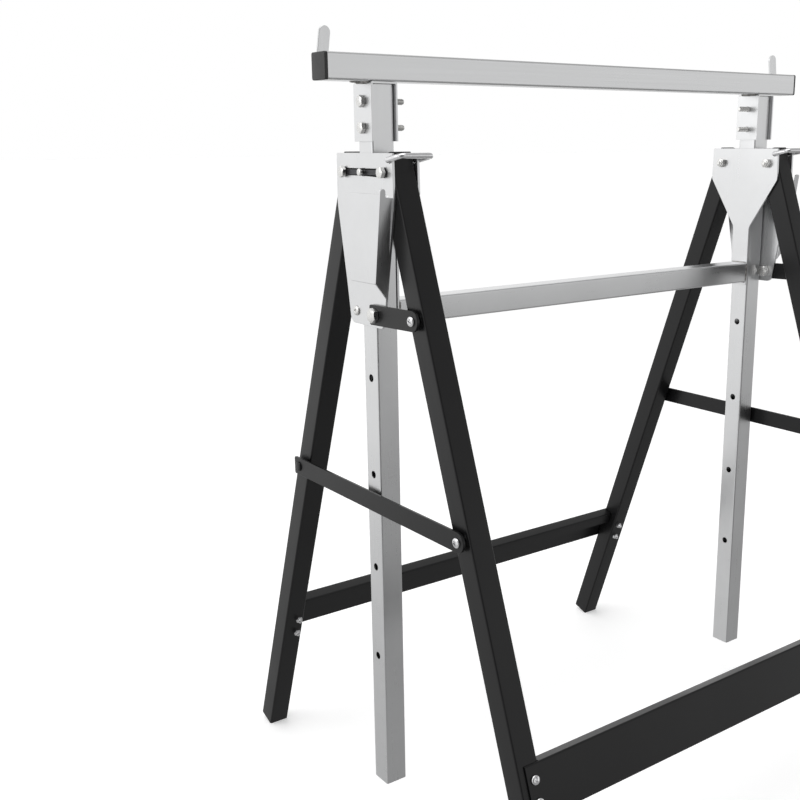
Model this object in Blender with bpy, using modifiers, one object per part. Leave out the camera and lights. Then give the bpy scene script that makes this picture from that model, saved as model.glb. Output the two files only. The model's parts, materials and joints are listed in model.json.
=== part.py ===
"""Folding, height-adjustable steel sawhorse, modelled as separate pieces.

The frame: X runs along the beam, -Y is the front, Z is up and the feet stand on Z = 0. Both ends
are mirror images, so most pieces are made by a loop over the ends. Distances called "out" are
measured along X from a post's centre, away from the middle of the sawhorse.
"""
from math import asin, atan2, cos, hypot, pi, radians, sin

import bmesh
import bpy
from mathutils import Matrix, Vector

# Shared stock and clearances
GAP = 0.0003
TUBE = 0.025
WALL = 0.0015
TUBE_CORNER = 0.002
HALF = TUBE / 2
ROUND = 20

# Beam and sliding posts
BEAM_LENGTH = 0.690
BEAM_TOP = 0.829
CAP_RIM = 0.003
CAP_PLUG = 0.003
POST_X = BEAM_LENGTH / 2 - 0.0615
POST_BOTTOM = 0.060
PLUG = 0.003
PLUG_SUNK = 0.0005
HOLE_PITCH = 0.102
HOLE_COUNT = 6
PIN_HOLE_R = 0.004

# Saddles that join the posts to the beam
SADDLE_SHEET = 0.002
SADDLE_WIDTH = 0.032
SADDLE_HEIGHT = 0.055
SADDLE_BOLT_DROPS = (0.0180, 0.0425)
SADDLE_BOLT_REACH = 0.0315

# Legs
LEAN = radians(19.3)
PIVOT_Y = 0.0355
PIVOT_Z = 0.720
LEG_TOP = 0.0147

# Brackets between legs and posts
PLATE = 0.0025
PLATE_IN = HALF + GAP
PLATE_OUT = PLATE_IN + PLATE
OUTER_OUTLINE = ((0.0505, 0.738, 0.0015), (0.0515, 0.690, 0.060), (0.0370, 0.612, 0.040),
                 (0.0325, 0.584, 0.020), (0.0305, 0.570, 0.008))
INNER_OUTLINE = ((0.0505, 0.738, 0.0015), (0.0515, 0.700, 0.006), (0.0125, 0.640, 0.010),
                 (0.0125, 0.566, 0.0015))
LIP_DEPTH = 0.0140
LIP_TOP = (0.0505, 0.700)
LIP_BOTTOM = (0.0368, 0.599)
TIE_TOP = 0.5945
GUIDE_Y = 0.0195
GUIDE_Z = 0.583
BAIL_Y = 0.0455
BAIL_Z = 0.7315
BAIL_WIRE_R = 0.00275
BAIL_REACH = 0.0235
BAIL_TILT = radians(10)

# Lock
SPRING_SHEET = 0.001
SPRING_IN = PLATE_OUT + GAP
SPRING_OUT = SPRING_IN + SPRING_SHEET
PIN_R = 0.0035
PIN_TRAVEL = 0.003

# Fasteners: radius of the shank and radius over the corners of the hexagon
M5_R = 0.0025
M6_R = 0.003
M8_R = 0.004
M5_HEX = 0.0046
M6_HEX = 0.00577
M8_HEX = 0.0075
M6_HEAD = 0.004
BORE = 0.0003

# Braces
BRACE_SHEET = 0.003
BRACE_WIDTH = 0.020
BRACE_IN = PLATE_OUT + GAP
BRACE_OUT = BRACE_IN + BRACE_SHEET
LONG_BRACE_Z = 0.387
SHORT_BRACE_Z = 0.585

# Crossbars, pressed from sheet; places along a leg are measured down from its pivot
BAR_SHEET = 0.0015
BAR_TOP = 0.5648
BAR_HEIGHT = 0.051
BAR_FLANGE = 0.016
BAR_LAP = 0.017
BAR_SCREWS = (0.5796, 0.6008)
BAR_SCREW_IN = 0.004

# Stop tabs on the beam
TAB_WIDTH = 0.0120
TAB_SHEET = 0.0025
TAB_LENGTH = 0.0378
TAB_FROM_END = 0.0111
TAB_LEAN = radians(8)

SIDES = (("left", -1), ("right", 1))
LEGS = (("front", -1), ("rear", 1))

# Colour, roughness and metallic value of each finish
GALVANISED = ((0.72, 0.73, 0.74), 0.34, 1.0)
ZINC = ((0.80, 0.80, 0.79), 0.28, 1.0)
CHROME = ((0.85, 0.85, 0.86), 0.12, 1.0)
SPRING_STEEL = ((0.09, 0.09, 0.10), 0.35, 1.0)
BLACK_PAINT = ((0.012, 0.012, 0.013), 0.32, 0.0)
BLACK_PLASTIC = ((0.02, 0.02, 0.021), 0.55, 0.0)

# Local X, Y and Z of an outline laid in the YZ or the XZ plane
YZ_PLANE = Matrix(((0, 0, 1, 0), (1, 0, 0, 0), (0, 1, 0, 0), (0, 0, 0, 1)))
XZ_PLANE = Matrix(((1, 0, 0, 0), (0, 0, -1, 0), (0, 1, 0, 0), (0, 0, 0, 1)))
XY_PLANE = Matrix.Identity(4)


# ---------------------------------------------------------------- scene and materials

def clear_scene():
    """Remove every object, so that the script can be run again."""
    for item in list(bpy.data.objects):
        bpy.data.objects.remove(item, do_unlink=True)


def collection(name):
    """Return a new collection linked to the scene."""
    made = bpy.data.collections.new(name)
    bpy.context.scene.collection.children.link(made)
    return made


def paint(thing, finish):
    """Give an object a material of its own."""
    colour, roughness, metallic = finish
    material = bpy.data.materials.new(thing.name)
    material.use_nodes = True
    shader = material.node_tree.nodes["Principled BSDF"]
    shader.inputs["Base Color"].default_value = (*colour, 1)
    shader.inputs["Roughness"].default_value = roughness
    shader.inputs["Metallic"].default_value = metallic
    thing.data.materials.clear()
    thing.data.materials.append(material)


def axis_empty(name, location, tilt=0.0):
    """An empty on a joint's axis, tilted about X."""
    empty = bpy.data.objects.new(name, None)
    empty.location = location
    empty.rotation_euler = (tilt, 0, 0)
    empty.empty_display_size = 0.03
    PARTS.objects.link(empty)
    return empty


# ---------------------------------------------------------------- outlines

def circle(centre, radius, sides=ROUND):
    """Points of a circle in an outline's plane."""
    steps = [2 * pi * step / sides for step in range(sides)]
    return [(centre[0] + radius * cos(turn), centre[1] + radius * sin(turn)) for turn in steps]


def arc(centre, radius, start, end, steps):
    """Points of an arc, both ends included."""
    turns = [start + (end - start) * step / steps for step in range(steps + 1)]
    return [(centre[0] + radius * cos(turn), centre[1] + radius * sin(turn)) for turn in turns]


def rounded(corners, steps=4):
    """An outline through corners (x, y, radius), each corner eased by its radius."""
    points = []
    for index, (x, y, radius) in enumerate(corners):
        here = Vector((x, y))
        before = Vector(corners[index - 1][:2]) - here
        after = Vector(corners[(index + 1) % len(corners)][:2]) - here
        half_angle = before.angle(after) / 2
        if radius == 0 or half_angle > radians(89):
            points.append((x, y))
            continue
        reach = radius * cos(half_angle) / sin(half_angle)
        centre = here + (before.normalized() + after.normalized()).normalized() * radius / sin(half_angle)
        first = here + before.normalized() * reach - centre
        last = here + after.normalized() * reach - centre
        start = atan2(first.y, first.x)
        sweep = (atan2(last.y, last.x) - start + pi) % (2 * pi) - pi
        points += arc(centre, radius, start, start + sweep, steps)
    return points


def square(size, radius):
    """A centred square with round corners."""
    half = size / 2
    return rounded([(half, half, radius), (-half, half, radius), (-half, -half, radius),
                    (half, -half, radius)], 3)


def mirrored(half_outline):
    """A closed outline from its half at positive x, listed from top to bottom."""
    other = [(-x, y, radius) for x, y, radius in reversed(half_outline)]
    return list(half_outline) + other


def tube_plug(x, end, inward):
    """A plug just inside an upright tube's end, reaching into the tube's wall so that it joins it."""
    half = HALF - WALL + 0.0003
    low, high = sorted((end + inward * PLUG_SUNK, end + inward * (PLUG_SUNK + PLUG)))
    return block((x - half, -half, low), (x + half, half, high))


def tube_loops():
    """The section of the square tube: its outside and its bore."""
    return [square(TUBE, TUBE_CORNER), square(TUBE - 2 * WALL, TUBE_CORNER / 4)]


# ---------------------------------------------------------------- meshes

def outline_mesh(loops, thickness, matrix):
    """A flat outline with holes, given a thickness, as a mesh placed by a matrix."""
    curve = bpy.data.curves.new("outline", "CURVE")
    curve.dimensions = "2D"
    curve.fill_mode = "BOTH"
    curve.extrude = thickness / 2
    for loop in loops:
        spline = curve.splines.new("POLY")
        spline.points.add(len(loop) - 1)
        spline.use_cyclic_u = True
        for point, (x, y) in zip(spline.points, loop):
            point.co = (x, y, 0, 1)
    holder = bpy.data.objects.new("outline", curve)
    bpy.context.scene.collection.objects.link(holder)
    bpy.context.view_layer.update()
    graph = bpy.context.evaluated_depsgraph_get()
    mesh = bpy.data.meshes.new_from_object(holder.evaluated_get(graph))
    bpy.data.objects.remove(holder, do_unlink=True)
    work = bmesh.new()
    work.from_mesh(mesh)
    bmesh.ops.remove_doubles(work, verts=work.verts, dist=0.00002)
    bmesh.ops.transform(work, matrix=matrix, verts=work.verts)
    bmesh.ops.recalc_face_normals(work, faces=work.faces)
    work.to_mesh(mesh)
    work.free()
    return mesh


def flat(loops, thickness, plane, centre):
    """A piece for solid(): a flat outline in a plane, centred in its thickness."""
    def add(work):
        mesh = outline_mesh(loops, thickness, Matrix.Translation(centre) @ plane)
        work.from_mesh(mesh)
        bpy.data.meshes.remove(mesh)
    return add


def rod(start, end, radius, sides=ROUND, turn=0.0):
    """A piece for solid(): a cylinder or a hexagonal prism between two points."""
    def add(work):
        along = Vector(end) - Vector(start)
        tilt = along.to_track_quat("Z", "Y").to_matrix().to_4x4()
        middle = Matrix.Translation((Vector(start) + Vector(end)) / 2)
        bmesh.ops.create_cone(work, cap_ends=True, segments=sides, radius1=radius, radius2=radius,
                              depth=along.length, matrix=middle @ tilt @ Matrix.Rotation(turn, 4, "Z"))
    return add


def block(low, high):
    """A piece for solid(): a box between two corners."""
    def add(work):
        size = Vector(high) - Vector(low)
        middle = Matrix.Translation((Vector(low) + Vector(high)) / 2)
        bmesh.ops.create_cube(work, size=1, matrix=middle @ Matrix.Diagonal((*size, 1)))
    return add


def mesh_of(name, pieces):
    """One mesh from several pieces."""
    work = bmesh.new()
    for add in pieces:
        add(work)
    bmesh.ops.recalc_face_normals(work, faces=work.faces)
    mesh = bpy.data.meshes.new(name)
    work.to_mesh(mesh)
    work.free()
    return mesh


def boolean(thing, operation, pieces, parent):
    """Join or cut an object with a helper object kept in the cutters' collection."""
    tool = bpy.data.objects.new(thing.name + "_" + operation.lower(), mesh_of("tool", pieces))
    tool.parent = parent
    tool.hide_render = True
    tool.display_type = "WIRE"
    CUTTERS.objects.link(tool)
    change = thing.modifiers.new(operation.title(), "BOOLEAN")
    change.operation = operation
    change.solver = "EXACT"
    change.object = tool


def solid(name, finish, pieces, joins=(), cuts=(), parent=None):
    """A named part made of pieces, joined with others and cut by others."""
    thing = bpy.data.objects.new(name, mesh_of(name, pieces))
    thing.parent = parent
    PARTS.objects.link(thing)
    if joins:
        boolean(thing, "UNION", joins, parent)
    if cuts:
        boolean(thing, "DIFFERENCE", cuts, parent)
    paint(thing, finish)
    return thing


def soften(thing, width):
    """Round the sharp edges of a plastic part."""
    bevel = thing.modifiers.new("Bevel", "BEVEL")
    bevel.width = width
    bevel.segments = 2
    bevel.limit_method = "ANGLE"
    bevel.angle_limit = radians(40)


# ---------------------------------------------------------------- carriage: beam and posts

def out_point(side, out, y, z):
    """A point at a distance outwards from a post's centre plane."""
    return (side * (POST_X + out), y, z)


def beam_bottom():
    return BEAM_TOP - TUBE


def make_beam():
    """The square beam, with a hole in its rear wall for each stop tab's rivet."""
    tube = flat(tube_loops(), BEAM_LENGTH - 2 * CAP_RIM - 2 * GAP, YZ_PLANE, (0, 0, BEAM_TOP - HALF))
    holes = [rod((tab_x(side), HALF - 2 * WALL, BEAM_TOP - HALF), (tab_x(side), HALF + WALL, BEAM_TOP - HALF),
                 M5_R + BORE) for _, side in SIDES]
    solid("beam", GALVANISED, [tube], cuts=holes)


def make_beam_cap(end, side):
    """A plastic cap: a rim flush with the tube, and a plug inside it."""
    tip = BEAM_LENGTH / 2
    inner = HALF - WALL - GAP
    rim = block((side * (tip - CAP_RIM), -HALF, beam_bottom()), (side * tip, HALF, BEAM_TOP))
    plug = block((side * (tip - CAP_RIM - CAP_PLUG), -inner, BEAM_TOP - HALF - inner),
                 (side * (tip - CAP_RIM / 2), inner, BEAM_TOP - HALF + inner))
    soften(solid("beam_cap_" + end, BLACK_PLASTIC, [rim], joins=[plug]), 0.0006)


def make_saddle(end, side):
    """An inverted U of sheet, under the beam and over the post's top."""
    outer = PLATE_IN + SADDLE_SHEET
    inner = PLATE_IN
    top = beam_bottom() - GAP
    outline = [(outer, top, 0.0025), (-outer, top, 0.0025), (-outer, top - SADDLE_HEIGHT, 0.0),
               (-inner, top - SADDLE_HEIGHT, 0.0), (-inner, top - SADDLE_SHEET, 0.0005),
               (inner, top - SADDLE_SHEET, 0.0005), (inner, top - SADDLE_HEIGHT, 0.0),
               (outer, top - SADDLE_HEIGHT, 0.0)]
    sheet = flat([rounded(outline, 3)], SADDLE_WIDTH, XZ_PLANE, (side * POST_X, 0, 0))
    solid("saddle_" + end, GALVANISED, [sheet], cuts=[bolt_hole(side, drop) for drop in SADDLE_BOLT_DROPS])


def bolt_hole(side, drop):
    """A cutter for one of the two bolts through saddle and post."""
    z = beam_bottom() - drop
    return rod((side * (POST_X - TUBE), 0, z), (side * (POST_X + TUBE), 0, z), M6_R + BORE)


def make_saddle_bolts(end, side):
    """Two bolts through the saddle and the post, each with its nut inside the post."""
    for place, drop in zip(("upper", "lower"), SADDLE_BOLT_DROPS):
        z = beam_bottom() - drop
        seat = PLATE_IN + SADDLE_SHEET + GAP
        head = rod(out_point(side, seat, 0, z), out_point(side, seat + M6_HEAD, 0, z), M6_HEX, 6)
        nut = rod(out_point(side, -0.0055, 0, z), out_point(side, -0.0105, 0, z), M6_HEX, 6)
        shank = rod(out_point(side, seat + 0.002, 0, z), out_point(side, -SADDLE_BOLT_REACH, 0, z), M6_R)
        solid("saddle_bolt_%s_%s" % (end, place), ZINC, [head, nut], joins=[shank])


def make_post(end, side):
    """The sliding post, plugged at its foot: a row of lock holes, and two for the saddle's bolts."""
    top = beam_bottom() - SADDLE_SHEET - 2 * GAP
    centre = (side * POST_X, 0, (top + POST_BOTTOM) / 2)
    tube = flat(tube_loops(), top - POST_BOTTOM, XY_PLANE, centre)
    holes = [bolt_hole(side, drop) for drop in SADDLE_BOLT_DROPS]
    for step in range(HOLE_COUNT):
        z = PIVOT_Z - step * HOLE_PITCH
        holes.append(rod((side * (POST_X - TUBE), 0, z), (side * (POST_X + TUBE), 0, z), PIN_HOLE_R))
    plug = tube_plug(side * POST_X, POST_BOTTOM, 1)
    solid("post_" + end, GALVANISED, [tube], joins=[plug], cuts=holes)


def tab_x(side):
    return side * (BEAM_LENGTH / 2 - TAB_FROM_END)


def make_stop_tab(end, side):
    """A flat tab that stands above the beam, on a rivet through the beam's rear wall."""
    hinge = axis_empty("stop_tab_axis_" + end,
                       (tab_x(side), HALF + GAP + TAB_SHEET / 2, BEAM_TOP - HALF))
    hinge.rotation_euler = (0, -side * TAB_LEAN, 0)
    half = TAB_WIDTH / 2
    outline = arc((0, TAB_LENGTH - half), half, 0, pi, 10) + arc((0, 0), half, pi, 2 * pi, 10)
    strip = flat([outline, circle((0, 0), M5_R + BORE)], TAB_SHEET, XZ_PLANE, (0, 0, 0))
    solid("stop_tab_" + end, GALVANISED, [strip], parent=hinge)


def make_tab_rivet(end, side):
    """A rivet with a head behind the tab and a tail inside the beam."""
    x, z = tab_x(side), BEAM_TOP - HALF
    seat = HALF + 2 * GAP + TAB_SHEET
    inside = HALF - WALL - GAP
    head = rod((x, seat, z), (x, seat + 0.0018, z), 0.0045)
    tail = rod((x, inside - 0.002, z), (x, inside, z), 0.0032)
    shank = rod((x, inside - 0.001, z), (x, seat + 0.001, z), M5_R)
    solid("tab_rivet_" + end, ZINC, [head, tail], joins=[shank])


# ---------------------------------------------------------------- bracket frame, which stays put

def make_outer_plate(end, side):
    """The outer plate, with a lip bent outwards along the lower part of its front edge."""
    holes = [circle((y, PIVOT_Z), M6_R + BORE) for y in (-PIVOT_Y, PIVOT_Y)]
    holes.append(circle((0, PIVOT_Z), PIN_R + BORE))
    holes.append(circle((-BAIL_Y, BAIL_Z), BAIL_WIRE_R + BORE))
    holes.append(circle((-GUIDE_Y, GUIDE_Z), M8_R + BORE))
    holes.append(circle((GUIDE_Y, GUIDE_Z), M5_R + BORE))
    middle = side * (POST_X + PLATE_IN + PLATE / 2)
    plate = flat([rounded(mirrored(OUTER_OUTLINE))] + holes, PLATE, YZ_PLANE, (middle, 0, 0))
    solid("outer_plate_" + end, GALVANISED, [plate], joins=[lip(side)])


def lip(side):
    """The lip: a strip that stands out from the plate's tapering front edge."""
    run = Vector((LIP_BOTTOM[0] - LIP_TOP[0], LIP_BOTTOM[1] - LIP_TOP[1]))
    slope = Matrix.Rotation(atan2(-run.x, -run.y), 4, "X")
    root = PLATE_IN + PLATE / 2
    edge = PLATE_OUT + LIP_DEPTH
    outline = [(root, -0.003, 0.0), (edge - 0.0062, -0.002, 0.001), (edge - 0.0054, 0.0058, 0.0026),
               (edge, 0.0058, 0.0026), (edge, 0.018 - run.length, 0.002), (root, -run.length, 0.0)]
    shape = rounded([(side * x, z, radius) for x, z, radius in outline])
    place = Matrix.Translation((side * POST_X, -LIP_TOP[0] + PLATE / 2, LIP_TOP[1]))
    return flat([shape], PLATE, place @ slope @ XZ_PLANE, (0, 0, 0))


def make_inner_plate(end, side):
    """The inner plate, which narrows to a stem that carries the tie bar."""
    holes = [circle((y, PIVOT_Z), M6_R + BORE) for y in (-PIVOT_Y, PIVOT_Y)]
    holes.append(circle((-BAIL_Y, BAIL_Z), BAIL_WIRE_R + BORE))
    middle = side * (POST_X - PLATE_IN - PLATE / 2)
    plate = flat([rounded(mirrored(INNER_OUTLINE))] + holes, PLATE, YZ_PLANE, (middle, 0, 0))
    solid("inner_plate_" + end, GALVANISED, [plate])


def make_tie_bar():
    """The lower bar that joins the two brackets."""
    reach = POST_X - PLATE_OUT - GAP
    solid("tie_bar", GALVANISED, [flat(tube_loops(), 2 * reach, YZ_PLANE, (0, 0, TIE_TOP - HALF))])


def make_pivot_bolt(row, way, end, side):
    """The bolt that one leg turns on, with its nut."""
    def at(out):
        return out_point(side, out, way * PIVOT_Y, PIVOT_Z)
    seat = SPRING_OUT + GAP
    back = -PLATE_OUT - GAP
    head = rod(at(seat), at(seat + M6_HEAD), M6_HEX, 6)
    nut = rod(at(back), at(back - 0.005), M6_HEX, 6)
    shank = rod(at(seat + 0.002), at(back - 0.008), M6_R)
    solid("%s_pivot_bolt_%s" % (row, end), ZINC, [head, nut], joins=[shank])


def make_guide_rivet(end, side):
    """A rivet whose wide inner shoulder guides the post."""
    def at(out):
        return out_point(side, out, GUIDE_Y, GUIDE_Z)
    face = PLATE_OUT + GAP
    head = rod(at(face), at(face + 0.002), 0.005)
    shoulder = rod(at(HALF), at(0.0035), 0.0066)
    shank = rod(at(HALF - 0.002), at(face + 0.001), M5_R)
    solid("guide_rivet_" + end, ZINC, [head, shoulder], joins=[shank])


def make_brace_nut(end, side):
    """The nut behind the outer plate that the short brace's bolt screws into."""
    turns = [pi / 6 + corner * pi / 3 for corner in range(6)]
    corners = [(M8_HEX * cos(turn), M8_HEX * sin(turn)) for turn in turns]
    ring = flat([corners, circle((0, 0), M8_R + BORE)], 0.0065, YZ_PLANE,
                out_point(side, HALF - 0.00325, -GUIDE_Y, GUIDE_Z))
    solid("brace_nut_" + end, ZINC, [ring])


def make_lock_spring(end, side):
    """A spring strip held under the heads of the pivot bolts, with an eye for the lock pin."""
    half = 0.00275
    eye = 0.005
    middle_eye = 0.004
    turn = asin(half / eye)
    middle_turn = asin(half / middle_eye)
    outline = arc((PIVOT_Y, 0), eye, turn - pi, pi - turn, 16)
    outline += arc((0, 0), middle_eye, middle_turn, pi - middle_turn, 6)
    outline += arc((-PIVOT_Y, 0), eye, turn, 2 * pi - turn, 16)
    outline += arc((0, 0), middle_eye, pi + middle_turn, 2 * pi - middle_turn, 6)
    loops = [outline, circle((0, 0), 0.0023)]
    loops += [circle((y, 0), M6_R + BORE) for y in (PIVOT_Y, -PIVOT_Y)]
    middle = side * (POST_X + SPRING_IN + SPRING_SHEET / 2)
    solid("lock_spring_" + end, SPRING_STEEL, [flat(loops, SPRING_SHEET, YZ_PLANE, (middle, 0, PIVOT_Z))])


def make_lock_pin(end, side):
    """The lock pin, drawn back to just clear of the post, with its neck through the spring's eye."""
    def at(out):
        return out_point(side, out, 0, PIVOT_Z)
    nose = rod(at(PLATE_IN), at(SPRING_IN - GAP / 2), PIN_R)
    head = rod(at(SPRING_OUT + PIN_TRAVEL + GAP), at(SPRING_OUT + PIN_TRAVEL + 0.002), PIN_R)
    neck = rod(at(PLATE_IN + 0.001), at(SPRING_OUT + PIN_TRAVEL + 0.001), 0.002)
    solid("lock_pin_" + end, ZINC, [nose, head], joins=[neck])


def make_bail(end, side):
    """A wire bail around the front leg's top, hooked into both plates."""
    hinge = axis_empty("bail_axis_" + end, (side * POST_X, -BAIL_Y, BAIL_Z), -BAIL_TILT)
    arm = PLATE_OUT + GAP + BAIL_WIRE_R
    tip = HALF + GAP + 0.0001
    bend = 0.0035
    corner = 0.006
    points = [(tip, 0)] + arc((arm - bend, -bend), bend, pi / 2, 0, 4)
    points += arc((arm - corner, corner - BAIL_REACH), corner, 0, -pi / 2, 5)
    points += [(-x, y) for x, y in reversed(points)]
    wire = bpy.data.curves.new("bail", "CURVE")
    wire.dimensions = "3D"
    wire.bevel_depth = BAIL_WIRE_R
    wire.bevel_resolution = 3
    wire.use_fill_caps = True
    spline = wire.splines.new("POLY")
    spline.points.add(len(points) - 1)
    for point, (x, y) in zip(spline.points, points):
        point.co = (x, y, 0, 1)
    thing = bpy.data.objects.new("bail_" + end, wire)
    thing.parent = hinge
    PARTS.objects.link(thing)
    paint(thing, CHROME)


# ---------------------------------------------------------------- legs

def leg_end():
    """Distance down the leg at which its inner edge meets the floor."""
    return (PIVOT_Z - HALF * sin(LEAN)) / cos(LEAN)


def down_leg(z):
    """Distance down the leg's centre line at which it passes a height."""
    return (PIVOT_Z - z) / cos(LEAN)


def leg_y(z):
    """Distance of the leg's centre line from the middle plane at a height."""
    return PIVOT_Y + down_leg(z) * sin(LEAN)


def make_leg(row, way, end, side, frame):
    """A square leg, plugged at both ends, with holes for its pivot bolt, braces and crossbar."""
    x = side * POST_X
    length = LEG_TOP + leg_end()
    tube = flat(tube_loops(), length, XY_PLANE, (x, 0, LEG_TOP - length / 2))
    holes = [rod((x - TUBE, 0, 0), (x + TUBE, 0, 0), M6_R + BORE)]
    brace_holes = ((LONG_BRACE_Z, M6_R), (SHORT_BRACE_Z, M6_R)) if way < 0 else ((LONG_BRACE_Z, M8_R),)
    for z, radius in brace_holes:
        down = -down_leg(z)
        holes.append(rod((x + side * HALF / 2, 0, down), (x + side * TUBE, 0, down), radius + BORE))
    for down in BAR_SCREWS:
        inward = x - side * BAR_SCREW_IN
        holes.append(rod((inward, -TUBE, -down), (inward, TUBE, -down), M5_R + BORE))
    plugs = [tube_plug(x, LEG_TOP, -1), tube_plug(x, -leg_end(), 1)]
    solid(row + "_leg_" + end, BLACK_PAINT, [tube], joins=plugs, cuts=holes, parent=frame)


def make_crossbar(row, way, frame):
    """A bar pressed from sheet: a web on the legs' outer faces and a hooked flange between them."""
    inside = HALF + GAP
    outside = inside + BAR_SHEET
    hook = outside - BAR_FLANGE
    low = -BAR_TOP - BAR_HEIGHT
    outline = [(outside, -BAR_TOP, 0.002), (outside, low, 0.0), (inside, low, 0.0),
               (inside, -BAR_TOP - BAR_SHEET, 0.0005), (hook + BAR_SHEET, -BAR_TOP - BAR_SHEET, 0.0005),
               (hook + BAR_SHEET, -BAR_TOP - BAR_FLANGE, 0.0), (hook, -BAR_TOP - BAR_FLANGE, 0.0),
               (hook, -BAR_TOP, 0.002)]
    shape = rounded([(way * y, z, radius) for y, z, radius in outline], 3)
    reach = POST_X - HALF + BAR_LAP
    bar = flat([shape], 2 * reach, YZ_PLANE, (0, 0, 0))
    cuts = []
    for _, side in SIDES:
        notch = side * (POST_X - HALF - 0.001)
        end = side * (reach + 0.01)
        cuts.append(block((min(notch, end), min(-way * TUBE, way * inside), -BAR_TOP - 0.03),
                          (max(notch, end), max(-way * TUBE, way * inside), -BAR_TOP + 0.01)))
        for down in BAR_SCREWS:
            x = side * (POST_X - BAR_SCREW_IN)
            cuts.append(rod((x, way * HALF, -down), (x, way * TUBE, -down), M5_R + BORE))
    solid(row + "_crossbar", BLACK_PAINT, [bar], cuts=cuts, parent=frame)


def make_crossbar_screws(row, way, end, side, frame):
    """Two screws through a crossbar and a leg, each with its nut on the leg's inner face."""
    seat = HALF + BAR_SHEET + 2 * GAP
    back = HALF + GAP
    x = side * (POST_X - BAR_SCREW_IN)
    for place, down in zip(("upper", "lower"), BAR_SCREWS):
        head = rod((x, way * seat, -down), (x, way * (seat + 0.0026), -down), 0.0047)
        nut = rod((x, -way * back, -down), (x, -way * (back + 0.004), -down), M5_HEX, 6)
        shank = rod((x, way * (seat + 0.001), -down), (x, -way * (back + 0.0082), -down), M5_R)
        name = "%s_crossbar_screw_%s_%s" % (row, end, place)
        solid(name, CHROME, [head, nut], joins=[shank], parent=frame)


def make_brace_pivot(name, end, side, z, frame):
    """The screw that a brace turns on, with a washer between brace and leg."""
    def at(out):
        return out_point(side, out, 0, -down_leg(z))
    head = rod(at(BRACE_OUT + GAP), at(BRACE_OUT + 0.0026), 0.005)
    washer = rod(at(PLATE_IN), at(PLATE_OUT), 0.006)
    shank = rod(at(HALF - 0.004), at(BRACE_OUT + 0.001), M6_R)
    solid(name + "_brace_screw_" + end, CHROME, [head, washer], joins=[shank], parent=frame)


# ---------------------------------------------------------------- braces

def make_brace(name, end, side, span, stud_radius, frame):
    """A flat brace with a round end at its pivot and a square end at its stud."""
    half = BRACE_WIDTH / 2
    outline = arc((0, 0), half, pi / 2, 3 * pi / 2, 12)
    outline += rounded([(0, -half, 0.0), (span + half, -half, 0.002), (span + half, half, 0.002),
                        (0, half, 0.0)])[1:-1]
    loops = [outline, circle((0, 0), M6_R + BORE), circle((span, 0), stud_radius + BORE)]
    middle = side * (POST_X + BRACE_IN + BRACE_SHEET / 2)
    strip = flat(loops, BRACE_SHEET, YZ_PLANE, (middle, 0, 0))
    solid(name + "_brace_" + end, BLACK_PAINT, [strip], parent=frame)


def make_long_brace_stud(end, side, span, frame):
    """The long brace's stud, which meets the rear leg; its collar stops just short of it."""
    def at(out):
        return out_point(side, out, span, 0)
    head = rod(at(BRACE_OUT + GAP), at(BRACE_OUT + 0.0022), 0.0055)
    collar = rod(at(PLATE_IN), at(BRACE_IN - GAP), 0.006)
    shank = rod(at(PLATE_IN + 0.001), at(BRACE_OUT + 0.001), M8_R)
    solid("long_brace_stud_" + end, BLACK_PAINT, [head, collar], joins=[shank], parent=frame)


def make_short_brace_bolt(end, side, span, frame):
    """The short brace's bolt, drawn just clear of the plate that it screws through."""
    def at(out):
        return out_point(side, out, span, 0)
    head = rod(at(BRACE_OUT + GAP), at(BRACE_OUT + 0.0055), M8_HEX, 6)
    shank = rod(at(BRACE_IN), at(BRACE_OUT + 0.002), M8_R)
    solid("short_brace_bolt_" + end, ZINC, [head], joins=[shank], parent=frame)


def make_braces(end, side):
    """Both braces of one end, each level at rest on its own joint's axis."""
    span = 2 * leg_y(LONG_BRACE_Z)
    hinge = axis_empty("long_brace_axis_" + end, (0, -leg_y(LONG_BRACE_Z), LONG_BRACE_Z))
    make_brace("long", end, side, span, M8_R, hinge)
    make_long_brace_stud(end, side, span, hinge)
    drop = GUIDE_Z - SHORT_BRACE_Z
    reach = leg_y(SHORT_BRACE_Z) - GUIDE_Y
    hinge = axis_empty("short_brace_axis_" + end, (0, -leg_y(SHORT_BRACE_Z), SHORT_BRACE_Z),
                       atan2(drop, reach))
    make_brace("short", end, side, hypot(drop, reach), M8_R, hinge)
    make_short_brace_bolt(end, side, hypot(drop, reach), hinge)


# ---------------------------------------------------------------- build

def main():
    make_beam()
    make_tie_bar()
    for end, side in SIDES:
        make_beam_cap(end, side)
        make_saddle(end, side)
        make_saddle_bolts(end, side)
        make_post(end, side)
        make_stop_tab(end, side)
        make_tab_rivet(end, side)
        make_outer_plate(end, side)
        make_inner_plate(end, side)
        make_guide_rivet(end, side)
        make_brace_nut(end, side)
        make_lock_spring(end, side)
        make_lock_pin(end, side)
        make_bail(end, side)
        make_braces(end, side)
    for row, way in LEGS:
        frame = axis_empty(row + "_legs_axis", (0, way * PIVOT_Y, PIVOT_Z), way * LEAN)
        make_crossbar(row, way, frame)
        for end, side in SIDES:
            make_pivot_bolt(row, way, end, side)
            make_leg(row, way, end, side, frame)
            make_crossbar_screws(row, way, end, side, frame)
            if way < 0:
                make_brace_pivot("long", end, side, LONG_BRACE_Z, frame)
                make_brace_pivot("short", end, side, SHORT_BRACE_Z, frame)


clear_scene()
PARTS = collection("folding_sawhorse")
CUTTERS = collection("cutters")
main()
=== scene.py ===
import json
from math import atan2, cos, pi, radians, sin

import bmesh
import bpy
from bpy.props import FloatProperty, FloatVectorProperty, IntProperty, PointerProperty
from mathutils import Matrix, Vector


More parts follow.
